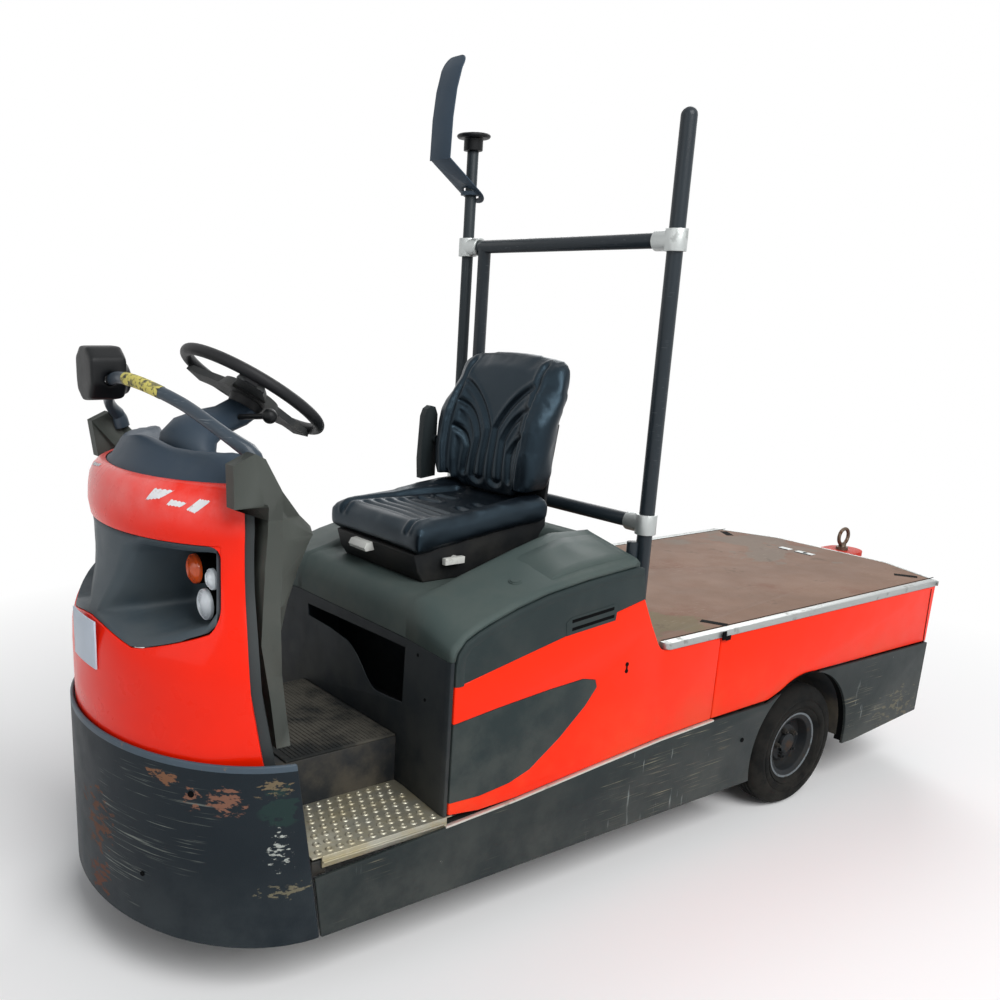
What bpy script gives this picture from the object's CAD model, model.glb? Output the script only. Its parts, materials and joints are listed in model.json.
"""Looks of a seated electric tow tractor with a load deck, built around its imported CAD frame."""
import json
import math
import bmesh
import bpy
from mathutils import Matrix, Vector
from mathutils.bvhtree import BVHTree


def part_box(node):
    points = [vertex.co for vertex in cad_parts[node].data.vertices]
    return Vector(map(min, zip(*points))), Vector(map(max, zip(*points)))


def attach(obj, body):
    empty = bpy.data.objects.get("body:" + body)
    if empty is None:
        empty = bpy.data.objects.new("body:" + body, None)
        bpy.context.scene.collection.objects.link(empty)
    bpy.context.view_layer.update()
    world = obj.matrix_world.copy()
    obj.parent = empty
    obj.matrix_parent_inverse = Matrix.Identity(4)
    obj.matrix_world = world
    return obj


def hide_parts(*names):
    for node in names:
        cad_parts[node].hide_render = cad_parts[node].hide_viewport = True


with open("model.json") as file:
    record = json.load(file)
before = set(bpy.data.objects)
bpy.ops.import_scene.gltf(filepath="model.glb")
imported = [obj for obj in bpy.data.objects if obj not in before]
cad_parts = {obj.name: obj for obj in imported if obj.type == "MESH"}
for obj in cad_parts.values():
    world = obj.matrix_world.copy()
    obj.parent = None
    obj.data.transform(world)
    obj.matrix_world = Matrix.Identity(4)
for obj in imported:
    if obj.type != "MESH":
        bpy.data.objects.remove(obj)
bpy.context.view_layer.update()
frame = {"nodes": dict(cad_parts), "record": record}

scene = bpy.context.scene
scene.view_settings.view_transform = "Standard"


# Studio: a pale floor that runs out into a white backdrop, a soft sky and three wide lamps.
# The camera stands at head height off the front left corner, and its shift frames the truck.
yaw, pitch, roll = (math.radians(a) for a in (235.747, -16.009, 1.67))
ahead = Vector((math.cos(yaw) * math.cos(pitch), math.sin(yaw) * math.cos(pitch), math.sin(pitch)))
level = Vector((math.sin(yaw), -math.cos(yaw), 0))
rise = level.cross(ahead)
across = math.cos(roll) * level + math.sin(roll) * rise
upward = math.cos(roll) * rise - math.sin(roll) * level
camera = bpy.data.objects.new("camera", bpy.data.cameras.new("camera"))
scene.collection.objects.link(camera)
camera.matrix_world = Matrix.Translation((2.3825, 2.296, 1.625)) @ Matrix(
    (across, upward, -ahead)).transposed().to_4x4()
camera.data.sensor_width = 36
camera.data.lens = 36.93
camera.data.shift_x = 0.137
camera.data.shift_y = 0.0927
scene.camera = camera


def add_node(tree, kind, links=(), **settings):
    """A shader node with its settings and, by input, a link or a plain value."""
    node = tree.nodes.new(kind)
    for key, value in settings.items():
        setattr(node, key, value)
    for socket, source in links:
        if hasattr(source, "is_output"):
            tree.links.new(source, node.inputs[socket])
        else:
            node.inputs[socket].default_value = source
    return node


def pale_backdrop(tree, shaded, white_kind, out, share=1.0):
    """Shows white to the camera and in clear or glossy surfaces; all other rays meet the shaded one."""
    rays = add_node(tree, "ShaderNodeLightPath").outputs
    seen = rays["Is Camera Ray"]
    for ray in ("Is Transmission Ray", "Is Glossy Ray"):
        seen = add_node(tree, "ShaderNodeMath", ((0, seen), (1, rays[ray])), operation="MAXIMUM").outputs[0]
    seen = add_node(tree, "ShaderNodeMath", ((0, share), (1, seen)), operation="MULTIPLY").outputs[0]
    white = add_node(tree, white_kind, (("Color", (1, 1, 1, 1)), ("Strength", 1)))
    mix = add_node(tree, "ShaderNodeMixShader", ((0, seen), (1, shaded.outputs[0]), (2, white.outputs[0])))
    end = next(n for n in tree.nodes if n.type == out)
    tree.links.new(mix.outputs[0], end.inputs["Surface"])


world = bpy.data.worlds.new("soft_sky")
scene.world = world
world.use_nodes = True
sky = world.node_tree.nodes["Background"]
sky.inputs["Color"].default_value = (0.93, 0.96, 1, 1)
sky.inputs["Strength"].default_value = 0.25
pale_backdrop(world.node_tree, sky, "ShaderNodeBackground", "OUTPUT_WORLD")

floor_mesh = bpy.data.meshes.new("studio_floor")
bm = bmesh.new()
bmesh.ops.create_grid(bm, x_segments=1, y_segments=1, size=30)
bm.to_mesh(floor_mesh)
bm.free()
floor = bpy.data.objects.new("studio_floor", floor_mesh)
scene.collection.objects.link(floor)
floor_paint = bpy.data.materials.new("studio_floor")
floor_paint.use_nodes = True
floor_mesh.materials.append(floor_paint)
floor_tree = floor_paint.node_tree
floor_face = floor_tree.nodes["Principled BSDF"]
floor_face.inputs["Base Color"].default_value = (0.93, 0.93, 0.93, 1)
floor_face.inputs["Roughness"].default_value = 0.9
# the floor keeps the shadow under the truck and fades to white between two distances from it
shadow_reach, white_reach = 1.6, 3.4
place = add_node(floor_tree, "ShaderNodeTexCoord").outputs["Object"]
far = add_node(floor_tree, "ShaderNodeVectorMath", ((0, place),), operation="LENGTH").outputs["Value"]
fade = add_node(floor_tree, "ShaderNodeMapRange", (("Value", far), ("From Min", shadow_reach),
                                                   ("From Max", white_reach))).outputs["Result"]
pale_backdrop(floor_tree, floor_face, "ShaderNodeEmission", "OUTPUT_MATERIAL", fade)

for name, place, aim, size, watts in (("key_lamp", (1.0, 5.4, 5.6), (0.1, 0, 0.7), 4.5, 470),
                                      ("front_lamp", (6.5, 1.0, 3.2), (1, 0, 0.7), 4.0, 45),
                                      ("rear_lamp", (-4.5, -3.5, 4.8), (-0.5, 0, 0.8), 4.0, 190)):
    lamp = bpy.data.objects.new(name, bpy.data.lights.new(name, "AREA"))
    lamp.data.size = size
    lamp.data.energy = watts
    lamp.location = place
    lamp.rotation_mode = "QUATERNION"
    lamp.rotation_quaternion = (Vector(aim) - Vector(place)).to_track_quat("-Z", "Y")
    scene.collection.objects.link(lamp)


# Frame: a welded ladder frame behind and a wheel tunnel in front, in dark satin paint with road dirt on it.
# The battery block and the cast drive axle hang in it, and the cast fork turns in the tunnel.
def noise_in(tree, place, scale, detail=4.0, rough=0.55):
    return add_node(tree, "ShaderNodeTexNoise", (("Vector", place), ("Scale", scale), ("Detail", detail),
                                                 ("Roughness", rough))).outputs["Fac"]


def ramp_in(tree, value, low, high, to_low=0.0, to_high=1.0):
    return add_node(tree, "ShaderNodeMapRange", (("Value", value), ("From Min", low), ("From Max", high),
                                                 ("To Min", to_low), ("To Max", to_high)),
                    interpolation_type="SMOOTHSTEP").outputs["Result"]


def math_in(tree, operation, a, b):
    return add_node(tree, "ShaderNodeMath", ((0, a), (1, b)), operation=operation, use_clamp=True).outputs[0]


def vector_in(tree, operation, *values):
    return add_node(tree, "ShaderNodeVectorMath", tuple(enumerate(values)), operation=operation).outputs


def mask_group(name, sockets, build):
    """A node group that gives one mask, from its inputs and the place on the piece."""
    group = bpy.data.node_groups.new(name, "ShaderNodeTree")
    for label, value in sockets:
        kind = "NodeSocketVector" if isinstance(value, tuple) else "NodeSocketFloat"
        socket = group.interface.new_socket(label, in_out="INPUT", socket_type=kind)
        socket.default_value = value
    group.interface.new_socket("Mask", in_out="OUTPUT", socket_type="NodeSocketFloat")
    start, end = group.nodes.new("NodeGroupInput"), group.nodes.new("NodeGroupOutput")
    place = group.nodes.new("ShaderNodeTexCoord")
    group.links.new(build(group, start.outputs, place.outputs["Object"]), end.inputs["Mask"])
    return group


def dust_mask(tree, given, place):
    # settles low on a piece and breaks up into patches
    cloud = noise_in(tree, place, given["Scale"], 6.0, 0.62)
    height = add_node(tree, "ShaderNodeSeparateXYZ", ((0, place),)).outputs["Z"]
    low = ramp_in(tree, height, given["High"], given["Low"])
    spread = math_in(tree, "ADD", math_in(tree, "MULTIPLY", low, 0.75), given["Cover"])
    return math_in(tree, "MULTIPLY", ramp_in(tree, cloud, 0.36, 0.66), spread)


def patch_mask(tree, given, place):
    # broken patches where the cover has worn through
    cloud = noise_in(tree, place, given["Scale"], 8.0, 0.68)
    high = add_node(tree, "ShaderNodeMath", ((0, given["Level"]), (1, given["Soft"])))
    return ramp_in(tree, cloud, given["Level"], high.outputs[0])


def scratch_mask(tree, given, place):
    # long thin scrapes along one direction, in bundles
    turned = vector_in(tree, "MULTIPLY", place, given["Along"])["Vector"]
    lines = ramp_in(tree, noise_in(tree, turned, given["Scale"], 3.0, 0.5), given["Level"], 0.76)
    bundle = ramp_in(tree, noise_in(tree, place, 3.2, 3.0, 0.6), 0.5, 0.62)
    return math_in(tree, "MULTIPLY", lines, bundle)


def spot_mask(tree, given, place):
    # one worn place, from its centre and its reach along each axis, broken up inside
    off = vector_in(tree, "SUBTRACT", place, given["Centre"])["Vector"]
    far = vector_in(tree, "LENGTH", vector_in(tree, "DIVIDE", off, given["Reach"])["Vector"])["Value"]
    flat = vector_in(tree, "MULTIPLY", place, (1.0, 1.0, 2.4))["Vector"]
    cloud = noise_in(tree, flat, given["Scale"], 5.0, 0.62)
    outer = math_in(tree, "MULTIPLY", math_in(tree, "MULTIPLY", far, far), 0.2)
    high = add_node(tree, "ShaderNodeMath", ((0, given["Level"]), (1, 0.06)))
    broken = ramp_in(tree, math_in(tree, "SUBTRACT", cloud, outer), given["Level"], high.outputs[0])
    return math_in(tree, "MULTIPLY", ramp_in(tree, far, 1.0, 0.7), broken)


dust = mask_group("dust", (("Scale", 5.0), ("Low", 0.0), ("High", 1.0), ("Cover", 0.1)), dust_mask)
patch = mask_group("patch", (("Scale", 8.0), ("Level", 0.6), ("Soft", 0.04)), patch_mask)
spot = mask_group("spot", (("Centre", (0.0, 0.0, 0.0)), ("Reach", (0.1, 0.1, 0.1)), ("Scale", 30.0),
                           ("Level", 0.43)), spot_mask)
scratch = mask_group("scratch", (("Scale", 30.0), ("Along", (1.0, 1.0, 18.0)), ("Level", 0.66)), scratch_mask)


# each layer ends with the colour it lays on, how strongly, and how rough it is
def dirt(scale, low, high, cover, *laid):
    return dust, {"Scale": scale, "Low": low, "High": high, "Cover": cover}, *laid


def wear(scale, level, soft, *laid):
    return patch, {"Scale": scale, "Level": level, "Soft": soft}, *laid


def scrapes(scale, along, level, *laid):
    return scratch, {"Scale": scale, "Along": along, "Level": level}, *laid


def mark(centre, reach, scale, level, *laid):
    return spot, {"Centre": centre, "Reach": reach, "Scale": scale, "Level": level}, *laid


def srgb(code):
    parts = [int(code[i:i + 2], 16) / 255 for i in (1, 3, 5)]
    return (*[c / 12.92 if c <= 0.04045 else ((c + 0.055) / 1.055) ** 2.4 for c in parts], 1)


def finish(name, colour, rough, layers=(), metallic=0.0, coat=0.0, grain=(900, 0.0), drift=0.06, **sockets):
    """A painted, moulded or metal finish: a colour that drifts a little, worn or dirty layers over it,
    and a fine grain given by its scale and strength."""
    made = bpy.data.materials.new(name)
    made.use_nodes = True
    tree = made.node_tree
    skin = tree.nodes["Principled BSDF"]
    skin.inputs["Metallic"].default_value = metallic
    skin.inputs["Coat Weight"].default_value = coat
    skin.inputs["Specular IOR Level"].default_value = 0.22
    for key, value in sockets.items():
        skin.inputs[key.replace("_", " ")].default_value = value
    place = add_node(tree, "ShaderNodeTexCoord").outputs["Object"]
    base = Vector(srgb(colour)[:3])
    cloud = ramp_in(tree, noise_in(tree, place, 2.6, 5.0, 0.6), 0.3, 0.7)
    tone = add_node(tree, "ShaderNodeMix", (("Factor", cloud), ("A", (*(base * (1 - drift)), 1)),
                                            ("B", (*(base * (1 + drift)), 1))), data_type="RGBA").outputs[2]
    sheen = ramp_in(tree, noise_in(tree, place, 14.0, 4.0), 0.25, 0.75, rough - 0.05, rough + 0.05)
    for group, values, over, strength, over_rough in layers:
        worn = add_node(tree, "ShaderNodeGroup", values.items(), node_tree=group)
        amount = math_in(tree, "MULTIPLY", worn.outputs["Mask"], strength)
        laid = add_node(tree, "ShaderNodeMix", (("Factor", amount), ("B", srgb(over))), data_type="RGBA")
        tree.links.new(tone, laid.inputs[6])
        tone = laid.outputs[2]
        sheen = add_node(tree, "ShaderNodeMix", (("Factor", amount), ("A", sheen), ("B", over_rough)),
                         data_type="FLOAT").outputs["Result"]
    tree.links.new(tone, skin.inputs["Base Color"])
    tree.links.new(sheen, skin.inputs["Roughness"])
    if grain[1]:
        fine = noise_in(tree, place, grain[0], 2.0, 0.5)
        bump = add_node(tree, "ShaderNodeBump", (("Height", fine), ("Strength", grain[1]),
                                                 ("Distance", 0.001)))
        tree.links.new(bump.outputs["Normal"], skin.inputs["Normal"])
    return made


homes = {node: body for body, nodes in frame["record"]["behaviour"]["bodies"].items() for node in nodes}


def keep(name, shape, material, nodes=(), round_over=38, body="truck"):
    """Turns a bmesh into a piece of the truck that rides on a body."""
    mesh = bpy.data.meshes.new(name)
    shape.to_mesh(mesh)
    shape.free()
    mesh.materials.clear()
    mesh.materials.append(material)
    mesh.shade_smooth()
    mesh.set_sharp_from_angle(angle=math.radians(round_over))
    piece = bpy.data.objects.new(name, mesh)
    scene.collection.objects.link(piece)
    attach(piece, body)
    if nodes:
        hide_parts(*nodes)
    return piece


def node_shape(node):
    """A merged copy of a CAD node's mesh, with its flat faces joined."""
    shape = bmesh.new()
    shape.from_mesh(frame["nodes"][node].data)
    bmesh.ops.remove_doubles(shape, verts=shape.verts, dist=0.00002)
    bmesh.ops.dissolve_limit(shape, angle_limit=math.radians(0.4), verts=shape.verts, edges=shape.edges)
    return shape


def rounded(shape, size, over, steps):
    """Rounds off every edge that turns by more than an angle."""
    corners = [e for e in shape.edges if len(e.link_faces) == 2 and e.calc_face_angle(0) > math.radians(over)]
    if size and corners:
        bmesh.ops.bevel(shape, geom=corners, offset=size, offset_type="OFFSET", segments=steps, profile=0.5,
                        affect="EDGES", clamp_overlap=True, material=-1)
    return shape


def dressed(node, material, edge=0.002, over=34, steps=2, round_over=38):
    """The node's own form with its corners rounded, in its finish."""
    shape = rounded(node_shape(node), edge, over, steps)
    return keep(node + "_piece", shape, material, (node,), round_over, homes[node])


frame_paint = finish("frame_paint", "#1d2023", 0.55, [dirt(7.0, 0.15, 0.75, 0.2, "#6a6253", 0.55, 0.85)],
                     grain=(400, 0.2))
battery_case = finish("battery_case", "#1b1e20", 0.6, [dirt(5.0, 0.3, 0.9, 0.2, "#57534a", 0.4, 0.85)],
                      grain=(300, 0.2))
axle_casting = finish("axle_casting", "#26292b", 0.62, [wear(14.0, 0.56, 0.08, "#4d3a2c", 0.6, 0.9)],
                      metallic=0.3, grain=(240, 0.5))
dressed("chassis", frame_paint, 0.003)
dressed("wheel_tunnel", frame_paint, 0.003)
dressed("battery", battery_case, 0.008)
dressed("rear_axle", axle_casting, 0.003)
dressed("steer_fork", axle_casting, 0.003)


# Wheels: solid rubber tyres on pressed steel rims, greyed by dust. The rim's outer flange is worn bright,
# and five nuts hold its disc to the hub.
tyre_rubber = finish("tyre_rubber", "#121313", 0.82, [dirt(16.0, 0.0, 0.5, 0.35, "#4c4842", 0.22, 0.95)],
                     grain=(700, 0.35), Specular_IOR_Level=0.1)
rim_paint = finish("rim_paint", "#25282b", 0.5, [wear(30.0, 0.58, 0.06, "#3b3027", 0.6, 0.85),
                                                 dirt(12.0, 0.0, 0.6, 0.2, "#3f3b35", 0.4, 0.9)],
                   metallic=0.1, grain=(300, 0.2), Specular_IOR_Level=0.1)
hub_paint = finish("hub_paint", "#1a1c1e", 0.6, [dirt(12.0, 0.0, 0.6, 0.3, "#544f47", 0.5, 0.9)],
                   metallic=0.2, grain=(300, 0.3))
flange_steel = finish("flange_steel", "#6b7276", 0.45, [wear(40.0, 0.54, 0.08, "#453d35", 0.7, 0.8)],
                      metallic=0.4, grain=(300, 0.2))
tyre_d, tyre_w, rim_d = 0.425, 0.115, 0.206
groove_deep, groove_top, groove_floor = 0.005, 0.0035, 0.0022
nut_count, nut_circle, nut_stand = 5, 0.047, 0.012


def spun(outline, turns=72):
    """A ring turned about Y from an outline of radius and width."""
    shape = bmesh.new()
    rim_line = [shape.verts.new((r, y, 0)) for r, y in outline]
    edges = [shape.edges.new((a, b)) for a, b in zip(rim_line, rim_line[1:] + rim_line[:1])]
    bmesh.ops.spin(shape, geom=rim_line + edges, cent=(0, 0, 0), axis=(0, 1, 0), angle=math.tau,
                   steps=turns, use_merge=True)
    bmesh.ops.remove_doubles(shape, verts=shape.verts, dist=0.00001)
    bmesh.ops.recalc_face_normals(shape, faces=shape.faces)
    return shape


def tyre_outline():
    """Half a side wall from bead to tread, mirrored, with three grooves between."""
    outer, half, bead = tyre_d / 2, tyre_w / 2, rim_d / 2 + 0.0003
    tall = outer - bead
    side = [(bead, -0.037), (bead + 0.0134, -0.039), (bead + 0.0134, -0.044), (bead + 0.026, -half + 0.005),
            (bead + 0.030, -half + 0.004), (bead + 0.033, -half + 0.0065), (bead + 0.036, -half + 0.0035)]
    side += [(bead + up * tall, -half + inward) for up, inward in (
        (0.37, 0), (0.52, 0), (0.54, 0.002), (0.56, 0), (0.66, 0.0005), (0.78, 0.004), (0.87, 0.0085),
        (0.93, 0.014), (0.97, 0.0205), (0.99, 0.028))] + [(outer, -half + 0.034)]
    tread = []
    for y in (-0.016, 0.0, 0.016):
        tread += [(outer, y - groove_top), (outer - groove_deep, y - groove_floor),
                  (outer - groove_deep, y + groove_floor), (outer, y + groove_top)]
    return side + tread + [(r, -y) for r, y in reversed(side)]


def rounded_stud(shape, place, wide, tall, sides=6, tip=0.8):
    """A nut or screw head standing along the matrix's Z."""
    bmesh.ops.create_cone(shape, cap_ends=True, segments=sides, radius1=wide / 2, radius2=wide / 2 * tip,
                          depth=tall, matrix=place @ Matrix.Translation((0, 0, tall / 2)))


for wheel, facing in (("rear_left", 1), ("rear_right", -1), ("front", 1)):
    low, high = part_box("tyre_" + wheel)
    middle = Matrix.Translation((low + high) / 2)
    body = homes["tyre_" + wheel]
    tyre = spun(tyre_outline())
    ring = spun(((0.1090, 0.0425), (0.1155, 0.0432), (0.1160, 0.0440), (0.1095, 0.0434)))
    for shape in (tyre, ring):
        bmesh.ops.transform(shape, matrix=middle, verts=shape.verts)
    keep("tyre_" + wheel + "_piece", tyre, tyre_rubber, ("tyre_" + wheel,), 50, body)
    dressed("rim_" + wheel, rim_paint, 0.0015, 30, 2, 40)
    nuts = bmesh.new()
    for i in range(nut_count):
        stand = (middle @ Matrix.Rotation(math.tau * i / nut_count, 4, "Y")
                 @ Matrix.Translation((nut_circle, facing * nut_stand, 0))
                 @ Matrix.Rotation(-facing * math.pi / 2, 4, "X"))
        rounded_stud(nuts, stand, 0.021, 0.013, 6, 0.86)
        rounded_stud(nuts, stand @ Matrix.Translation((0, 0, 0.012)), 0.011, 0.008, 12, 0.8)
    keep("rim_ring_" + wheel, ring, flange_steel, (), 50, body)
    keep("wheel_nuts_" + wheel, nuts, hub_paint, body=body)


# Lower body: folded steel bumper and skirts in anthracite paint, scraped along their length down to primer,
# rust and bare steel. A bright edging runs along the top of each skirt, and a black lip lines each rear arch.
scraped_paint = finish("scraped_paint", "#242b2c", 0.46, (
    dirt(4.0, 0.12, 0.5, 0.12, "#6b6c66", 0.3, 0.8),
    scrapes(12.0, (0.5, 1.0, 24.0), 0.58, "#a29b82", 0.7, 0.6),
    scrapes(9.0, (7.0, 7.0, 1.0), 0.65, "#9aa19f", 0.5, 0.6),
    mark((-1.22, 0.495, 0.24), (0.20, 0.1, 0.12), 26.0, 0.5, "#8f866e", 0.35, 0.8),
    wear(21.0, 0.715, 0.02, "#b9b8ae", 0.7, 0.6)), grain=(260, 0.25), Specular_IOR_Level=0.16)
bumper_paint = finish("bumper_paint", "#192127", 0.46, (
    dirt(4.0, 0.15, 0.42, 0.1, "#4f5658", 0.3, 0.8),
    scrapes(12.0, (0.55, 0.55, 22.0), 0.58, "#8f958d", 0.7, 0.6),
    mark((1.556, 0.296, 0.570), (0.06, 0.07, 0.026), 34.0, 0.43, "#7c5842", 0.9, 0.8),
    mark((1.513, 0.360, 0.530), (0.03, 0.03, 0.038), 26.0, 0.43, "#825b49", 0.9, 0.8),
    mark((1.455, 0.418, 0.532), (0.06, 0.06, 0.046), 34.0, 0.43, "#7d5848", 0.9, 0.8),
    mark((1.365, 0.470, 0.566), (0.06, 0.06, 0.036), 40.0, 0.47, "#74664f", 0.8, 0.8),
    mark((1.352, 0.477, 0.520), (0.06, 0.06, 0.070), 16.0, 0.43, "#26423a", 0.35, 0.6),
    mark((1.628, 0.060, 0.375), (0.06, 0.12, 0.120), 24.0, 0.46, "#6b4836", 0.7, 0.8),
    mark((1.630, 0.060, 0.220), (0.06, 0.09, 0.080), 24.0, 0.46, "#6d4433", 0.7, 0.8),
    mark((1.352, 0.477, 0.410), (0.05, 0.05, 0.110), 52.0, 0.53, "#b4b9b3", 0.75, 0.6),
    mark((1.345, 0.480, 0.300), (0.12, 0.06, 0.035), 44.0, 0.50, "#8a8268", 0.5, 0.7),
    wear(17.0, 0.72, 0.02, "#a9a49a", 0.6, 0.6)), grain=(260, 0.25), Specular_IOR_Level=0.13)
lip_paint = finish("lip_paint", "#43505b", 0.42, (
    scrapes(22.0, (1.0, 1.0, 8.0), 0.58, "#8d979d", 0.7, 0.5),
    wear(30.0, 0.64, 0.04, "#7c6655", 0.6, 0.7)), grain=(260, 0.25))
slot_dark = finish("slot_dark", "#08090a", 0.8, grain=(600, 0.3), Specular_IOR_Level=0.05)
edging_metal = finish("edging_metal", "#c9c8c0", 0.38, [wear(20.0, 0.56, 0.1, "#8b8475", 0.6, 0.65)],
                      metallic=0.7, grain=(500, 0.3))
lip_z = 0.604


def cut_at(shape, z):
    bmesh.ops.bisect_plane(shape, geom=shape.verts[:] + shape.edges[:] + shape.faces[:],
                           plane_co=(0, 0, z), plane_no=(0, 0, 1))


# the bumper's rolled lip is painted apart from its face
shape = rounded(node_shape("bumper"), 0.0048, 50, 4)
cut_at(shape, lip_z)
lip = shape.copy()
bmesh.ops.delete(shape, geom=[f for f in shape.faces if f.calc_center_median().z > lip_z], context="FACES")
bmesh.ops.delete(lip, geom=[f for f in lip.faces if f.calc_center_median().z <= lip_z], context="FACES")
keep("bumper_piece", shape, bumper_paint, ("bumper",), 40)
keep("bumper_lip", lip, lip_paint, (), 40)
holes = bmesh.new()
for place, wide in (((1.515, 0.358, 0.542), 0.016), ((1.589, 0.236, 0.300), 0.012),
                    ((1.589, -0.200, 0.213), 0.014)):
    out = Vector((place[0] - 1.2, place[1], 0)).normalized()
    stand = Matrix.Translation(Vector(place) - out * 0.004) @ out.to_track_quat("Z", "Y").to_matrix().to_4x4()
    rounded_stud(holes, stand, wide, 0.0050, 16, 0.96)
keep("bumper_holes", holes, slot_dark)
dressed("skirts", scraped_paint, 0.003, 30, 3, 40)
dressed("tail_skirt", scraped_paint, 0.003, 30, 3, 40)


def lofted(shape, rings, closed=True, ends=(0, -1), turned=True):
    """Skins rows of vertices, as a tube or an open sheet, and closes the rings named as ends."""
    around = len(rings[0])
    made = [shape.faces.new((one[k], two[k], two[(k + 1) % around], one[(k + 1) % around]))
            for one, two in zip(rings, rings[1:]) for k in range(around if closed else around - 1)]
    made += [shape.faces.new(rings[i]) for i in ends]
    if turned:
        bmesh.ops.recalc_face_normals(shape, faces=made)


skirt_y, edging_y, edging_w, edging_t = 0.495, 0.49, 0.0108, 0.0052
edging_form = ((-1, -1), (1, -1), (1, 0.4), (0.6, 1), (-1, 1))
edging, lips = bmesh.new(), bmesh.new()
arch_x, arch_z, arch_rest, arch_steps = -0.6355, 0.2125, 8, 40
for s in (1, -1):
    flank = [v.co for v in frame["nodes"]["skirts"].data.vertices if abs(v.co.y - s * skirt_y) < 0.0005]
    top_line = sorted({(round(p.x, 4), round(p.z, 4)) for p in flank
                       if -0.385 < p.x < 1.24 and 0.31 < p.z < 0.43})
    lofted(edging, [[edging.verts.new((x, s * edging_y + a * edging_w / 2, z + 0.0012 + b * edging_t / 2))
                     for a, b in edging_form] for x, z in top_line])
    turns = [math.radians(-arch_rest + (180 + 2 * arch_rest) * i / arch_steps) for i in range(arch_steps + 1)]
    lofted(lips, [[lips.verts.new((arch_x - r * math.cos(a), s * y, arch_z + r * math.sin(a)))
                   for r, y in ((0.2658, 0.4615), (0.2658, 0.4905), (0.2690, 0.4905), (0.2690, 0.4615))]
                  for a in turns])
keep("skirt_edging", edging, edging_metal)
keep("arch_lips", lips, slot_dark)


# Side covers, rear and tail panels: moulded panels in gloss red, with grey bands and a grey flash let in.
# Thin dark joints part them, and a film of dust lies low on each. A lock holds each cover.
red_paint = finish("red_paint", "#f52a08", 0.36, [dirt(3.0, 0.4, 0.62, 0.02, "#c9693f", 0.3, 0.6),
                                                  wear(40.0, 0.74, 0.02, "#b7300f", 0.5, 0.5)],
                   coat=0.06, Coat_Roughness=0.1, grain=(180, 0.04), drift=0.02, Specular_IOR_Level=0.1)
grey_band = finish("grey_band", "#273132", 0.5, [dirt(6.0, 0.4, 1.0, 0.1, "#6f7069", 0.25, 0.8)],
                   grain=(1100, 0.3), Specular_IOR_Level=0.15)
for node in ("side_covers", "rear_panels", "tail_panel"):
    dressed(node, red_paint, 0.004, 34, 3)
dressed("cover_trims", grey_band, 0.0012)
# the moulding along the cover's crest: its line in X and Z, and its section by depth and Y
crest_line = [Vector(p) for p in (
    (0.224, 0.940), (0.252, 0.944), (0.345, 0.938), (0.438, 0.929), (0.508, 0.920), (0.578, 0.910),
    (0.628, 0.899), (0.678, 0.887), (0.723, 0.874), (0.768, 0.859), (0.808, 0.844), (0.840, 0.828),
    (0.862, 0.800), (0.868, 0.770), (0.868, 0.716))]
crest_form = ((-0.001, 0.4760), (0.0005, 0.4830), (0.004, 0.4868), (0.009, 0.4888), (0.015, 0.4891),
              (0.021, 0.4882), (0.027, 0.4868))
grip_plate = ((0.502, 0.790), (0.507, 0.826), (0.490, 0.838), (0.332, 0.853), (0.316, 0.846), (0.321, 0.806))
grip_slits, slit_tall = (((0.486, 0.823), (0.331, 0.837)), ((0.484, 0.801), (0.328, 0.815))), 0.009


def plate_on_side(shape, points, side, back, front):
    """A flat plate on one flank of the truck, from its outline in X and Z."""
    lofted(shape, [[shape.verts.new((x, side * y, z)) for x, z in points] for y in (back, front)])


def block_at(shape, centre, size, turn=0.0):
    """A plain block turned about Z."""
    bmesh.ops.create_cube(shape, size=1, matrix=Matrix.Translation(centre) @ Matrix.Rotation(turn, 4, "Z")
                          @ Matrix.Diagonal((*size, 1)))


def flank_stud(shape, place, side, wide, tall, tip):
    """A round head that faces out of one flank."""
    x, y, z = place
    stand = Matrix.Translation((x, side * y, z)) @ Matrix.Rotation(-side * math.pi / 2, 4, "X")
    rounded_stud(shape, stand, wide, tall, 16, tip)


crests, plates, slits, locks = bmesh.new(), bmesh.new(), bmesh.new(), bmesh.new()
for s in (1, -1):
    rows = []
    for before, p, after in zip(crest_line[:1] + crest_line, crest_line, crest_line[1:] + crest_line[-1:]):
        way = (after - before).normalized()
        rows.append([crests.verts.new((p.x + way.y * d, s * y, p.y - way.x * d)) for d, y in crest_form])
    lofted(crests, rows, closed=False, ends=())
    plate_on_side(plates, grip_plate, s, 0.4840, 0.4877)
    for (x0, z0), (x1, z1) in grip_slits:
        plate_on_side(slits, ((x0, z0), (x0, z0 + slit_tall), (x1, z1 + slit_tall), (x1, z1)),
                      s, 0.4860, 0.4881)
    # the lock's keyhole, and the bolt in the wheel arch
    for z in (0.668, 0.648):
        flank_stud(locks, (0.256, 0.4865, z), s, 0.013, 0.0022, 0.9)
    block_at(locks, (0.256, s * 0.4872, 0.658), (0.006, 0.002, 0.014))
    flank_stud(locks, (-0.312, 0.4945, 0.314), s, 0.016, 0.003, 0.85)
keep("cover_crests", crests, grey_band, (), 70)
keep("grip_plates", plates, grey_band)
keep("grip_slots", slits, slot_dark)
keep("cover_locks", locks, slot_dark)


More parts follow.
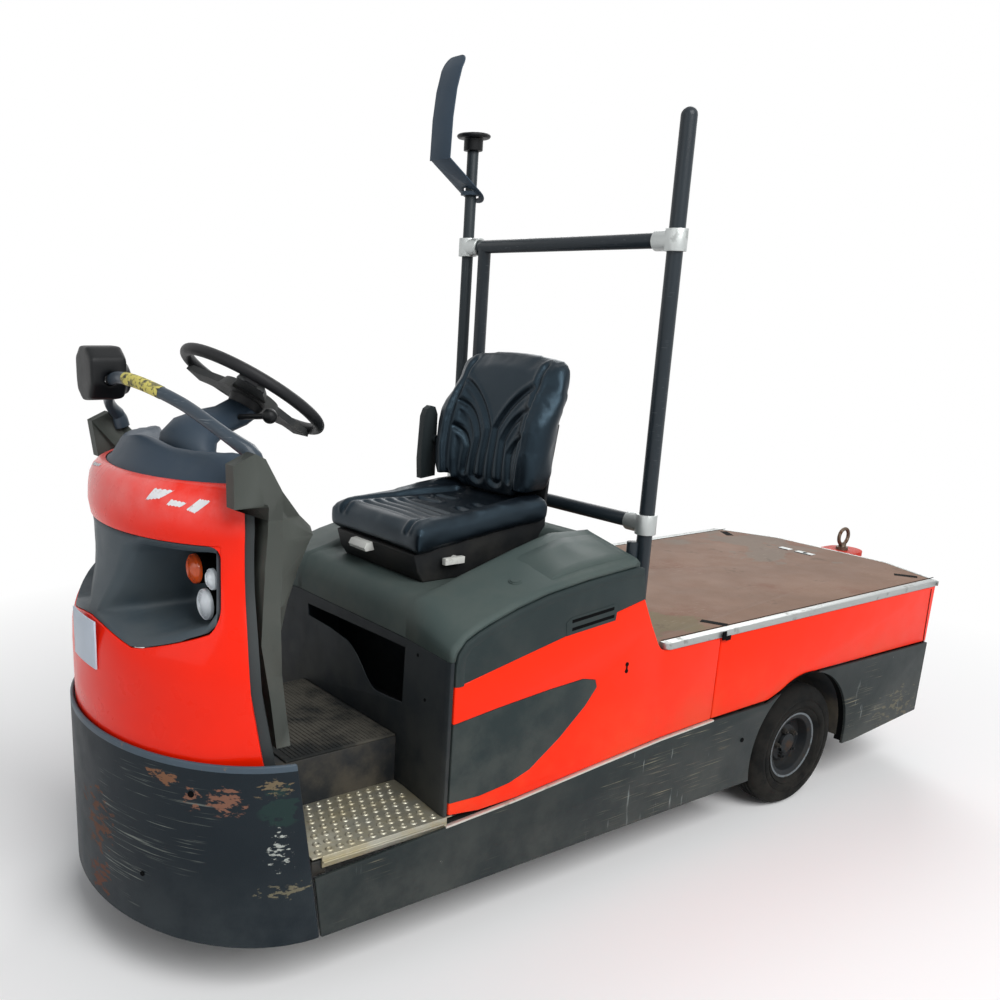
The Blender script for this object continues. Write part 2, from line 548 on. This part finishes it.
# Load deck: a coated plywood board, worn and dirty, in an aluminium edge profile with a groove.
# The tow coupling behind it is a painted steel jaw with a loose pin.
board_face = finish("board_face", "#846b5c", 0.75, (
    wear(3.0, 0.5, 0.2, "#7b5648", 0.6, 0.8),
    mark((0.02, 0.30, 0.70), (0.36, 0.36, 0.2), 7.0, 0.43, "#75725a", 0.6, 0.85),
    mark((-1.25, -0.2, 0.70), (0.40, 0.5, 0.2), 6.0, 0.43, "#817b72", 0.6, 0.85),
    wear(9.0, 0.6, 0.06, "#5f5348", 0.45, 0.85),
    scrapes(22.0, (1.0, 14.0, 1.0), 0.6, "#b3a798", 0.5, 0.8)), grain=(520, 0.6), drift=0.12)
edge_aluminium = finish("edge_aluminium", "#a9adac", 0.4, (
    wear(16.0, 0.56, 0.1, "#6d6c66", 0.55, 0.65),
    scrapes(30.0, (0.6, 12.0, 12.0), 0.6, "#dfe2e0", 0.6, 0.35)), metallic=0.75, grain=(500, 0.2))
tow_paint = finish("tow_paint", "#c0301c", 0.5, [wear(22.0, 0.58, 0.05, "#4a3a32", 0.8, 0.8)],
                   grain=(300, 0.3))
worn_steel = finish("worn_steel", "#6a5c50", 0.5, [wear(40.0, 0.52, 0.1, "#5b3a26", 0.7, 0.85)],
                    metallic=0.7, grain=(400, 0.4))
dressed("deck_board", board_face, 0.0025)
dressed("deck_edge", edge_aluminium, 0.002)
deck_top = 0.7
# lashing slots let into the board, a dark joint along its edge, a joint and a clip in the panel below it
sunk, bright = bmesh.new(), bmesh.new()
for s in (1, -1):
    for a, b, wide in (((-0.180, 0.385), (-0.215, 0.456), 0.028), ((-1.305, 0.360), (-1.345, 0.425), 0.030)):
        a, b = Vector((a[0], s * a[1], deck_top)), Vector((b[0], s * b[1], deck_top))
        block_at(sunk, (a + b) / 2, ((b - a).length, wide, 0.0014), math.atan2(b.y - a.y, b.x - a.x))
    block_at(sunk, (-0.657, s * 0.4560, deck_top), (1.48, 0.004, 0.0012))
    plate_on_side(sunk, ((-1.333, 0.672), (-1.338, 0.672), (-1.351, 0.436), (-1.346, 0.436)),
                  s, 0.4860, 0.4876)
    block_at(sunk, (-0.152, s * 0.4962, 0.688), (0.016, 0.003, 0.026))
    block_at(sunk, (-0.172, s * 0.4960, 0.678), (0.022, 0.002, 0.014))
# two bright plates near the tail, one with a hole through it
plate_x, plate_long, hole_y = -1.308, 0.028, -0.008
for y, wide in ((-0.095, 0.050), (hole_y, 0.076)):
    block_at(bright, (plate_x, y, deck_top + 0.0004), (plate_long, wide, 0.0016))
    block_at(sunk, (plate_x + 0.017, y, deck_top), (0.008, wide - 0.006, 0.0014))
rounded_stud(sunk, Matrix.Translation((plate_x, hole_y, deck_top + 0.0006)), 0.018, 0.0012, 16, 0.96)
keep("deck_slots", sunk, slot_dark)
keep("deck_fittings", bright, edge_aluminium)
dressed("tow_jaw", tow_paint, 0.004, 34, 3)
dressed("tow_pin", worn_steel, 0.0)


# Footwell: a ribbed rubber mat on the raised floor, and a stamped aluminium tread plate on each side step.
# The plates are scuffed bright on their studs and yellowed with dust between them.
mat_rubber = finish("mat_rubber", "#1f2121", 0.8, [dirt(9.0, 0.3, 0.6, 0.4, "#7a756a", 0.6, 0.92)],
                    grain=(500, 0.4))
tread_metal = finish("tread_metal", "#a9a79a", 0.42, [dirt(11.0, 0.3, 0.4, 0.35, "#9c8a52", 0.65, 0.75)],
                     metallic=0.7, grain=(420, 0.35))
dressed("floor_mat", mat_rubber, 0.002)
dressed("step_plates", tread_metal, 0.0012)
mat_low, mat_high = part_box("floor_mat")
rib_step, rib_inset = 0.0125, 0.008
rib_form = ((-0.0035, -0.001), (-0.0024, 0.002), (0.0024, 0.002), (0.0035, -0.001))
ribs = bmesh.new()
for i in range(int((mat_high.x - mat_low.x - 0.02) / rib_step)):
    x = mat_low.x + 0.016 + i * rib_step
    lofted(ribs, [[ribs.verts.new((x + along, y, mat_high.z + up)) for along, up in rib_form]
                  for y in (mat_low.y + rib_inset, mat_high.y - rib_inset)], closed=False)
keep("mat_ribs", ribs, mat_rubber)

# pressed craters with a drain hole in each, in staggered rows
tread_top, stud_step, row_step = 0.365, 0.031, 0.0335
crater = ((0.0115, -0.0006), (0.0100, 0.0016), (0.0078, 0.0032), (0.0060, 0.0030), (0.0050, 0.0012),
          (0.0046, -0.0010))
around = [math.tau * i / 12 for i in range(12)]
studs = bmesh.new()
for side in (1, -1):
    for row in range(7):
        for k in range(12):
            x, y = 0.9 + (k + row % 2 / 2) * stud_step, side * (0.262 + row * row_step)
            if x <= 1.255:
                lofted(studs, [[studs.verts.new((x + r * math.cos(a), y + r * math.sin(a), tread_top + z))
                                for a in around] for r, z in crater], ends=(-1,))
keep("tread_studs", studs, tread_metal, (), 60)


# Seat box: a dark moulded front with a storage pocket, under a grey moulded hood that carries the seat.
# The hood's lip frames the side covers, and its front is screwed on through round holes.
box_plastic = finish("box_plastic", "#1a2126", 0.55, [dirt(6.0, 0.35, 0.9, 0.08, "#63615a", 0.3, 0.85)],
                     grain=(1000, 0.35))
hood_plastic = finish("hood_plastic", "#465250", 0.5, [dirt(5.0, 0.7, 1.05, 0.15, "#77766e", 0.3, 0.8)],
                      grain=(900, 0.3), Specular_IOR_Level=0.12)
dressed("seat_box_front", box_plastic, 0.003, 30, 3)
dressed("seat_hood", hood_plastic, 0.0, 60, 1, 60)


def skin_of(node):
    """A node's surface, for rays that find a place on it."""
    shape = bmesh.new()
    shape.from_mesh(frame["nodes"][node].data)
    tree = BVHTree.FromBMesh(shape)
    shape.free()
    return tree


# a raised field along the hood's rear shoulder and a round cap ahead of it, on each side
hood_skin, down, above = skin_of("seat_hood"), Vector((0, 0, -1)), 1.6
field_start, field_long, field_steps = 0.240, 0.306, 12
field_lines = (0.315, 0.3165, 0.320, 0.350, 0.390, 0.430, 0.448, 0.4515, 0.453)
field_rise = (-0.002, 0.0055, 0.0085)
fields, caps, holes = bmesh.new(), bmesh.new(), bmesh.new()
for s in (1, -1):
    rows = []
    for i in range(field_steps + 1):
        x = field_start + field_long * i / field_steps
        row = []
        for j, y in enumerate(field_lines):
            hit = hood_skin.ray_cast(Vector((x, s * y, above)), down)[0]
            edge_in = min(j, len(field_lines) - 1 - j, i, field_steps - i, 2)
            row.append(fields.verts.new(hit + Vector((0, 0, field_rise[edge_in]))))
        rows.append(row)
    lofted(fields, rows, closed=False, ends=())
    hit, facing = hood_skin.ray_cast(Vector((0.616, s * 0.400, above)), down)[:2]
    stand = Matrix.Translation(hit) @ facing.to_track_quat("Z", "Y").to_matrix().to_4x4()
    for wide, tall in ((0.036, 0.0030), (0.028, 0.0056), (0.021, 0.0046)):
        rounded_stud(caps, stand, wide, tall, 28, 0.94)
    for x, y, z in ((0.8732, 0.376, 0.647), (0.8686, 0.333, 0.754)):
        rounded_stud(holes, Matrix.Translation((x, s * y, z)) @ Matrix.Rotation(math.pi / 2, 4, "Y"),
                     0.010, 0.0028, 12, 0.9)
keep("hood_fields", fields, hood_plastic, (), 60)
keep("hood_caps", caps, hood_plastic)
keep("box_holes", holes, slot_dark)


# Seat: black vinyl cushion and backrest on a sprung base, with white adjuster levers and a side wing.
# Each cover is sewn from panels and stuffed, so it swells between its seams.
seat_vinyl = finish("seat_vinyl", "#0b0f14", 0.36, [wear(4.0, 0.55, 0.2, "#1b2026", 0.6, 0.48)],
                    grain=(650, 0.4), Specular_IOR_Level=0.42, Specular_Tint=(0.5, 0.78, 1, 1))
base_plastic = finish("base_plastic", "#141618", 0.6, [dirt(7.0, 0.8, 1.1, 0.15, "#55524b", 0.35, 0.85)],
                      grain=(800, 0.3))
lever_plastic = finish("lever_plastic", "#d4d5d0", 0.4, [wear(30.0, 0.58, 0.1, "#8f8c83", 0.5, 0.6)],
                       grain=(600, 0.1))
wing_plastic = finish("wing_plastic", "#1f2628", 0.55, grain=(800, 0.3))
dressed("seat_base", base_plastic, 0.004, 34, 3)
dressed("seat_levers", lever_plastic, 0.0025, 34, 3)
dressed("seat_wing", wing_plastic, 0.008, 34, 4)


def remeshed(name, mesh, size):
    """A working object whose mesh is the given form in even small faces."""
    form = bpy.data.objects.new(name, mesh)
    scene.collection.objects.link(form)
    skin = form.modifiers.new("skin", "REMESH")
    skin.mode = "VOXEL"
    skin.voxel_size = size
    fine = bpy.data.meshes.new_from_object(form.evaluated_get(bpy.context.evaluated_depsgraph_get()))
    form.modifiers.clear()
    form.data = fine
    return form


def smoothed(form, times, cuts=0):
    """Takes a working object's mesh, splits its faces and smooths it."""
    made = bmesh.new()
    made.from_mesh(form.data)
    bpy.data.objects.remove(form)
    if cuts:
        bmesh.ops.subdivide_edges(made, edges=made.edges[:], cuts=cuts, use_grid_fill=True)
    for step in range(times):
        bmesh.ops.smooth_vert(made, verts=made.verts, factor=0.5, use_axis_x=True, use_axis_y=True,
                              use_axis_z=True)
    made.normal_update()
    return made


def limited(t):
    """A share kept between none and all."""
    return max(0, min(1, t))


def stuffed(node, tuck, cap, held):
    """The pad's form blown up inside its cover: remeshed, swelled as cloth and capped."""
    start = bmesh.new()
    start.from_mesh(frame["nodes"][node].data)
    bmesh.ops.remove_doubles(start, verts=start.verts, dist=0.00002)
    start.normal_update()
    for v in start.verts:
        v.co -= v.normal * tuck
    mesh = bpy.data.meshes.new(node + "_form")
    start.to_mesh(mesh)
    start.free()
    form = remeshed(node + "_form", mesh, 0.0115)
    fine = form.data
    rest = [v.co.copy() for v in fine.vertices]
    group = form.vertex_groups.new(name="held")
    group.add([v.index for v in fine.vertices if held(v.co)], 1.0, "REPLACE")
    cloth = form.modifiers.new("cloth", "CLOTH")
    cloth.settings.quality = 3
    cloth.settings.use_pressure = True
    cloth.settings.uniform_pressure_force = 4
    cloth.settings.vertex_group_mass = "held"
    cloth.settings.effector_weights.gravity = 0
    cloth.point_cache.frame_end = 10
    for step in range(1, 11):
        scene.frame_set(step)
    swelled = form.evaluated_get(bpy.context.evaluated_depsgraph_get()).to_mesh()
    for v, old, new in zip(fine.vertices, rest, [w.co.copy() for w in swelled.vertices]):
        move = new - old
        v.co = old + move * min(1, cap / max(move.length, 1e-9))
    form.modifiers.clear()
    scene.frame_set(1)
    return smoothed(form, 7, 1)


def sewn(made, lines, depth, wide, flat, facing):
    """Presses seams into a pad. Each line is a row of points in the pad's flat view."""
    legs = [(a, b) for line in lines for a, b in zip(line, line[1:]) if (b - a).length > 1e-6]
    for v in made.verts:
        if v.normal.dot(facing) < 0.25:
            continue
        here = flat(v.co)
        near = 1.0
        for a, b in legs:
            along = b - a
            t = limited((here - a).dot(along) / along.length_squared)
            near = min(near, (here - a - along * t).length)
        if near < wide * 3:
            pressed = math.exp(-(near / wide) ** 2)
            raised = math.exp(-((near - 2 * wide) / wide) ** 2)
            v.co -= v.normal * (depth * pressed - 0.35 * depth * raised)
    made.normal_update()


def bowed(a, b, bow, steps=8):
    """A seam from a to b that bows aside by a share of its length."""
    a, b = Vector(a), Vector(b)
    out = Vector((-(b - a).y, (b - a).x)) * bow
    return [a + (b - a) * i / steps + out * 4 * (i / steps) * (1 - i / steps) for i in range(steps + 1)]


# flutes run up the backrest and fan out to its shoulders, inside a seam along each bolster
back_lines = []
for s in (1, -1):
    for foot, bend, tip, bow in (((0.020, 1.122), (0.016, 1.270), (0.142, 1.398), 0.08),
                                 ((0.062, 1.122), (0.055, 1.240), (0.148, 1.338), 0.11),
                                 ((0.102, 1.132), (0.094, 1.205), (0.146, 1.262), 0.10)):
        foot, bend, tip = ((s * y, z) for y, z in (foot, bend, tip))
        back_lines.append(bowed(foot, bend, 0.0) + bowed(bend, tip, s * bow))
    back_lines.append(bowed((s * 0.020, 1.122), (s * 0.062, 1.122), s * -0.22))
    back_lines.append(bowed((s * 0.152, 1.455), (s * 0.150, 1.110), s * 0.03, 16))
backrest = stuffed("seat_backrest", 0.004, 0.009, lambda p: p.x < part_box("seat_backrest")[0].x + 0.025)
# the cover's lower edge is drawn down to the cushion
for v in backrest.verts:
    v.co.z -= 0.024 * limited((1.19 - v.co.z) / 0.095)
sewn(backrest, back_lines, 0.0085, 0.0075, lambda p: Vector((p.y, p.z)), Vector((1, 0, 0)))
cushion_lines = [bowed((0.40, s * 0.118), (0.785, s * 0.158), s * 0.02) for s in (1, -1)]
cushion_lines += [bowed((x, -0.135), (x, 0.135), 0.04) for x in (0.612, 0.652, 0.692, 0.732)]
cushion_lines += [bowed((x, s * 0.05), (x + 0.012, s * 0.12), 0.0) for s in (1, -1) for x in (0.47, 0.53)]
cushion = stuffed("seat_cushion", 0.004, 0.008, lambda p: p.z < 1.012 - 0.126 * (p.x - 0.33))
sewn(cushion, cushion_lines, 0.007, 0.0080, lambda p: Vector((p.x, p.y)), Vector((0, 0, 1)))
for made, node in ((backrest, "seat_backrest"), (cushion, "seat_cushion")):
    pad = keep(node + "_pad", made, seat_vinyl, (node,), 80)
    soften = pad.modifiers.new("soften", "SUBSURF")
    soften.levels = soften.render_levels = 1


# Nose: a gloss red moulded cowl over the bumper, with dark trims on its rear edges and a blank white plate.
# A grey lamp panel with an eye on each side is let into its window, and the lenses stand there in black cups.
cowl_paint = finish("cowl_paint", "#ee2002", 0.30, [wear(50.0, 0.75, 0.02, "#a82a0d", 0.4, 0.5),
                                                    dirt(3.0, 1.20, 1.11, 0.0, "#f2a5a2", 0.55, 0.24)],
                    coat=0.22, Coat_Roughness=0.06, grain=(150, 0.03), drift=0.02, Specular_IOR_Level=0.1)
mask_plastic = finish("mask_plastic", "#3b464d", 0.45, [dirt(6.0, 0.8, 1.2, 0.05, "#6c6c66", 0.2, 0.8)],
                      grain=(1100, 0.25))
trim_plastic = finish("trim_plastic", "#34393a", 0.5, grain=(900, 0.3))
amber_lens = finish("amber_lens", "#d2521a", 0.15, coat=0.6, grain=(300, 0.2))
clear_lens = finish("clear_lens", "#dfe5ea", 0.12, coat=0.6, grain=(300, 0.2))
plate_white = finish("plate_white", "#bcc6d2", 0.45, [dirt(9.0, 0.7, 0.9, 0.1, "#a09a90", 0.3, 0.7)])
paper = finish("torn_paper", "#dfe0e2", 0.7, [wear(60.0, 0.56, 0.06, "#b9a9a6", 0.7, 0.8)])


def lowered_back(p, edge):
    """The cowl's lower rear corners drawn back over the bumper, where edge says how near the rear it is."""
    s = limited((0.86 - p.z) / 0.25)
    return Vector((p.x - 0.036 * edge * s * s, p.y + math.copysign(0.006 * edge * s * s, p.y), p.z))


shape = node_shape("cowl")
for v in shape.verts:
    v.co = lowered_back(v.co, limited((1.475 - v.co.x) / 0.075))
keep("cowl_piece", rounded(shape, 0.0032, 62, 3), cowl_paint, ("cowl",), 50)
# rounded corners of the window, each from its corner, the ways its two edges run and a radius
corners = bmesh.new()
for place, one, two, radius in (
        ((1.4243, 0.3351, 1.0975), (0.729, -0.684, 0), (-0.02, -0.05, -1), 0.026),
        ((1.4377, 0.3606, 0.9350), (0.651, -0.243, -0.72), (-0.178, -0.337, 0.923), 0.030)):
    for s in (1, -1):
        corner, along, up = (Vector((v[0], s * v[1], v[2])) for v in (place, one, two))
        inward = along.cross(up).normalized() * 0.010
        inward *= -1 if inward.x > 0 else 1
        outline = [corner] + [corner + along * radius * (1 - math.sin(a)) + up * radius * (1 - math.cos(a))
                              for a in (math.pi / 2 * i / 10 for i in range(11))]
        lofted(corners, [[corners.verts.new(p + inward * deep) for p in outline] for deep in (0.05, 1)])
keep("window_corners", corners, cowl_paint)
# the trims are narrowed along the cowl's rear edge, given by height, X and Y
trim_share = 0.68
edge_line = ((0.60, 1.4015, 0.4243), (0.82, 1.4007, 0.4222), (0.90, 1.3923, 0.3990), (1.00, 1.3789, 0.3621),
             (1.10, 1.3771, 0.3573), (1.17, 1.3786, 0.3614), (1.23, 1.3687, 0.3341))
shape = node_shape("cowl_trims")
for v in shape.verts:
    for (z0, x0, y0), (z1, x1, y1) in zip(edge_line, edge_line[1:]):
        if z0 - 0.001 <= v.co.z <= z1:
            t = (v.co.z - z0) / (z1 - z0)
            x, y = x0 + (x1 - x0) * t, math.copysign(y0 + (y1 - y0) * t, v.co.y)
            v.co = Vector((x + (v.co.x - x) * trim_share, y + (v.co.y - y) * trim_share, v.co.z))
            break
    v.co = lowered_back(v.co, 1.0)
keep("cowl_trims_piece", shape, trim_plastic, ("cowl_trims",), 50)
dressed("lamp_mask", mask_plastic, 0.0, 60, 1, 60)
dressed("nose_plate", plate_white, 0.0008)


def lamp_shape(shape, outline, place):
    """A turned lamp part on the X axis, from an outline of radius and reach."""
    made = spun(outline, 40)
    bmesh.ops.transform(made, matrix=Matrix.Translation(place) @ Matrix.Rotation(-math.pi / 2, 4, "Z"),
                        verts=made.verts)
    part = bpy.data.meshes.new("lamp_part")
    made.to_mesh(part)
    made.free()
    shape.from_mesh(part)
    bpy.data.meshes.remove(part)


def stepped_dome(radius, reach, rings):
    """A lens whose dome falls away in fine steps."""
    outline = [(0.0, reach * 0.7), (radius, reach * 0.7), (radius, reach * 0.78)]
    for i in range(rings):
        r = radius * 0.96 * (1 - i / rings)
        z = reach * (0.78 + 0.22 * math.sqrt(max(0, 1 - (r / radius) ** 2)))
        outline += [(r, z), (r - radius * 0.04, z - 0.0012)]
    return outline + [(0.0, reach)]


def lamp_cup(radius, reach):
    return [(0.0, 0.0), (radius * 0.98, 0.0), (radius * 1.03, reach * 0.72), (radius * 0.9, reach * 0.72),
            (0.0, reach * 0.6)]


lamp_x = 1.3708
amber, clear, cups = bmesh.new(), bmesh.new(), bmesh.new()
for s in (1, -1):
    for lens, radius, reach, rings, y, z in ((amber, 0.0350, 0.066, 5, 0.196, 1.018),
                                             (clear, 0.0370, 0.062, 6, 0.245, 0.945),
                                             (clear, 0.0250, 0.060, 4, 0.278, 1.012)):
        lamp_shape(lens, stepped_dome(radius, reach, rings), (lamp_x, s * y, z))
        lamp_shape(cups, lamp_cup(radius, reach), (lamp_x, s * y, z))
keep("lamp_cups", cups, slot_dark, (), 30)
keep("indicator_lenses", amber, amber_lens, ("indicator_lamps",), 30)
keep("head_lenses", clear, clear_lens, ("head_lamps",), 30)

# blank paper left on the brow where a label was torn off, its corners by angle about the bow and height
cowl_skin, bow_x, scrap_across, scrap_up = skin_of("cowl"), 1.2485, 12, 5
scraps = bmesh.new()
for corners_at in (((33.0, 1.185), (40.0, 1.193), (45.5, 1.212), (36.5, 1.211)),
                   ((42.8, 1.181), (48.6, 1.180), (51.0, 1.190), (44.8, 1.194)),
                   ((50.8, 1.176), (54.0, 1.170), (59.4, 1.198), (55.5, 1.200)),
                   ((-31.0, 1.212), (-15.0, 1.221), (-15.0, 1.226), (-31.0, 1.219))):
    grid = []
    for i in range(scrap_across + 1):
        column = []
        for j in range(scrap_up + 1):
            u, v = i / scrap_across, j / scrap_up
            shares = ((1 - u) * (1 - v), u * (1 - v), u * v, (1 - u) * v)
            a, z = (sum(w * c[k] for w, c in zip(shares, corners_at)) for k in (0, 1))
            ragged = 0.0013 * math.sin(4.1 * i + 40 * corners_at[0][1]) if j in (0, scrap_up) else 0
            out = Vector((math.cos(math.radians(a)), math.sin(math.radians(a)), 0))
            hit, facing = cowl_skin.ray_cast(Vector((bow_x, 0, z + ragged)) + out * 0.9, -out)[:2]
            column.append(scraps.verts.new(hit + facing * 0.0007))
        grid.append(column)
    lofted(scraps, grid, closed=False, ends=(), turned=False)
keep("torn_label", scraps, paper)


# Dash and controls: slate mouldings behind the cowl, and a bent tube between two moulded leg shields.
# The steering wheel stands on its leaning column, and a black device is clamped to the hoop.
slate_plastic = finish("slate_plastic", "#323f4c", 0.5, [dirt(7.0, 1.1, 1.4, 0.1, "#707472", 0.25, 0.8)],
                       grain=(900, 0.3))
shield_plastic = finish("shield_plastic", "#414541", 0.55, [dirt(7.0, 0.6, 1.3, 0.1, "#6d6a62", 0.25, 0.85)],
                        grain=(900, 0.3))
back_plastic = finish("back_plastic", "#1d2226", 0.55, [dirt(7.0, 0.5, 0.9, 0.1, "#66635b", 0.3, 0.85)],
                      grain=(900, 0.3))
hoop_paint = finish("hoop_paint", "#333e48", 0.42, [scrapes(40.0, (1.0, 0.4, 6.0), 0.6, "#848b90", 0.5, 0.5)],
                    coat=0.2, grain=(300, 0.1))
worn_tape = finish("worn_tape", "#cfc46a", 0.6, (
    wear(45.0, 0.5, 0.06, "#6f6c55", 0.9, 0.7),
    wear(90.0, 0.56, 0.05, "#2c302f", 0.9, 0.7)), grain=(500, 0.5))
black_plastic = finish("black_plastic", "#0f1113", 0.45, [wear(20.0, 0.6, 0.1, "#33363a", 0.4, 0.6)],
                       grain=(800, 0.3))
wheel_plastic = finish("wheel_plastic", "#1a1b1d", 0.48, [wear(20.0, 0.58, 0.12, "#3a3b3c", 0.5, 0.4)],
                       grain=(900, 0.4))
pad_plastic = finish("pad_plastic", "#2b2d2e", 0.55, [dirt(20.0, 1.2, 1.6, 0.2, "#5a5852", 0.3, 0.8)],
                     grain=(900, 0.4))
dressed("dash_top", slate_plastic, 0.0, 60, 1, 60)
dressed("column", slate_plastic, 0.0, 60, 1, 60)
dressed("dash_back", back_plastic, 0.003)


def flared(p):
    """A point of the hoop or shields, once their upper ends are drawn out over the cowl's corners."""
    def ease(t):
        t = limited(t)
        return t * t * (3 - 2 * t)
    s = ease((abs(p.y) - 0.20) / 0.13) * ease((p.z - 1.14) / 0.09)
    return Vector((p.x + 0.028 * s, p.y + math.copysign(0.041 * s, p.y), p.z))


def between(z, table):
    """A value read from rows of height and value."""
    for (z0, v0), (z1, v1) in zip(table, table[1:]):
        if z <= z1:
            return v0 + (v1 - v0) * max(0, (z - z0) / (z1 - z0))
    return table[-1][1]


# the blade narrows and slants below, and its rear edge stands out as a flag behind the hoop's foot
front_edge = ((0.62, 1.3405), (0.878, 1.3405), (1.06, 1.3225), (1.13, 1.3185), (1.20, 1.3225),
              (1.234, 1.3325))
rear_edge = ((0.62, 1.2955), (0.878, 1.2925), (1.09, 1.2385), (1.11, 1.2285), (1.13, 1.2315), (1.30, 1.3385))
front_move = ((0.62, -0.026), (0.74, -0.010), (0.878, 0.014), (1.06, 0.022), (1.13, 0.020), (1.20, 0.012),
              (1.234, 0))
rear_move = ((0.62, -0.018), (0.74, 0), (0.878, 0.018), (0.96, 0.010), (1.03, -0.004), (1.11, -0.022),
             (1.13, -0.018), (1.16, -0.006), (1.20, 0.006), (1.30, 0))
cheek_front, cheek_z, cheek_y = 1.33, 1.196, 0.356
shape = node_shape("leg_shields")
for z in (0.68, 0.74, 0.80, 0.96, 1.03, 1.11, 1.16):
    cut_at(shape, z)
for v in shape.verts:
    if v.co.z < 1.2335:
        front, rear = between(v.co.z, front_edge), between(v.co.z, rear_edge)
        share = limited((front - v.co.x) / (front - rear))
        move = between(v.co.z, front_move) * (1 - share) + between(v.co.z, rear_move) * share
        v.co.x += move
        if move < 0 and v.co.z > 0.9:
            v.co.y += math.copysign(0.7 * move, v.co.y)
for v in shape.verts:
    if v.co.x > cheek_front and 1.22 < v.co.z < 1.24:
        v.co.z = cheek_z
    if v.co.x > cheek_front and v.co.z > 1.19 and abs(v.co.y) < 0.36:
        v.co.y = math.copysign(cheek_y, v.co.y)
cut_at(shape, 1.16)
for v in shape.verts:
    v.co = flared(v.co)
rounded(shape, 0.005, 24, 3)
keep("leg_shields_piece", shape, shield_plastic, ("leg_shields",))

hoop_arc, hoop_x, hoop_z, hoop_lean_x, hoop_lean_z = 0.390, 1.3425, 1.305, 0.7716, 0.6361
foot_angle, foot_cos, foot_dip = 61, 0.4848, Vector((0.0012, 0, 0.0045))


def hoop_place(a):
    """A point on the hoop's middle line by an angle of its arc, which dips into the shield past the foot."""
    arc = math.radians(math.copysign(min(abs(a), foot_angle), a))
    out = hoop_arc * (math.cos(arc) - foot_cos)
    spot = flared(Vector((hoop_x + hoop_lean_x * out, hoop_arc * math.sin(arc), hoop_z + hoop_lean_z * out)))
    return spot - foot_dip * max(0, abs(a) - foot_angle)


def hoop_tube(first, last, radius, steps):
    """A length of the hoop's tube between two angles of its arc; it swells where it enters a shield."""
    shape = bmesh.new()
    rings = []
    for i in range(steps + 1):
        a = first + (last - first) * i / steps
        way = (hoop_place(a + 0.5) - hoop_place(a - 0.5)).to_track_quat("Z", "Y").to_matrix()
        wide = radius * (1 + 0.45 * limited((abs(a) - 46) / 18) ** 2)
        section = [Vector((wide * math.cos(t), wide * math.sin(t), 0))
                   for t in (math.tau * k / 24 for k in range(24))]
        rings.append([shape.verts.new(hoop_place(a) + way @ p) for p in section])
    lofted(shape, rings)
    return shape


keep("hoop_piece", hoop_tube(-68, 68, 0.014, 68), hoop_paint, ("hoop",), 50)
keep("hoop_tape", hoop_tube(1, 23, 0.0149, 14), worn_tape, (), 50)
shape = smoothed(remeshed("rail_device_form", frame["nodes"]["rail_device"].data.copy(), 0.004), 16)
bmesh.ops.translate(shape, verts=shape.verts, vec=(0, -0.026, -0.004))
keep("rail_device_piece", shape, black_plastic, ("rail_device",), 60)
dressed("steering_wheel", wheel_plastic, 0.002, 40, 2, 50)
# a dished pad over the hub and broad covers on the spokes, by reach, half width and height
pads = bmesh.new()
lean = Matrix.Translation((1.1675, 0, 1.398)) @ Matrix.Rotation(-math.radians(32.7), 4, "Y")
spoke_form = ((0.060, 0.046, -0.005), (0.110, 0.040, -0.006), (0.150, 0.034, -0.007), (0.180, 0.036, -0.008))
spoke_under = -0.024
rounded_stud(pads, lean @ Matrix.Translation((0, 0, -0.030)), 0.170, 0.026, 40, 0.86)
for turn in (60, 180, 300):
    way = lean @ Matrix.Rotation(math.radians(turn), 4, "Z")
    lofted(pads, [[pads.verts.new(way @ Vector((x, y, z)))
                   for y, z in ((-w, spoke_under), (w, spoke_under), (w * 0.86, h), (-w * 0.86, h))]
                  for x, w, h in spoke_form])
keep("wheel_pads", pads, pad_plastic, body="steering_wheel")
dressed("selector", black_plastic, 0.001, 34)
dressed("pedals", frame_paint, 0.002)


# Rear frame: painted steel tubes that stand behind the seat, joined by cast aluminium clamps.
# The mast on its right carries a painted plate and the black base of a beacon.
tube_paint = finish("tube_paint", "#1f272d", 0.42, (
    scrapes(40.0, (1.0, 1.0, 6.0), 0.62, "#6a7175", 0.45, 0.5),), coat=0.15, grain=(300, 0.1))
mast_paint = finish("mast_paint", "#262d31", 0.45, (
    scrapes(40.0, (6.0, 6.0, 0.6), 0.62, "#70777a", 0.4, 0.5),), grain=(300, 0.1))
clamp_casting = finish("clamp_casting", "#b9bdbc", 0.42, [wear(26.0, 0.55, 0.1, "#7f8381", 0.5, 0.6)],
                       metallic=0.8, grain=(420, 0.5))
plate_paint = finish("plate_paint", "#344351", 0.5, [dirt(8.0, 1.9, 2.1, 0.1, "#23282b", 0.6, 0.6)],
                     grain=(500, 0.15))
dressed("rear_frame", tube_paint, 0.001, 40)
dressed("mast", mast_paint, 0.001, 40)
dressed("tube_clamps", clamp_casting, 0.003, 40, 2)
dressed("glare_plate", plate_paint, 0.001, 40)
dressed("beacon_base", black_plastic, 0.003, 34, 3)
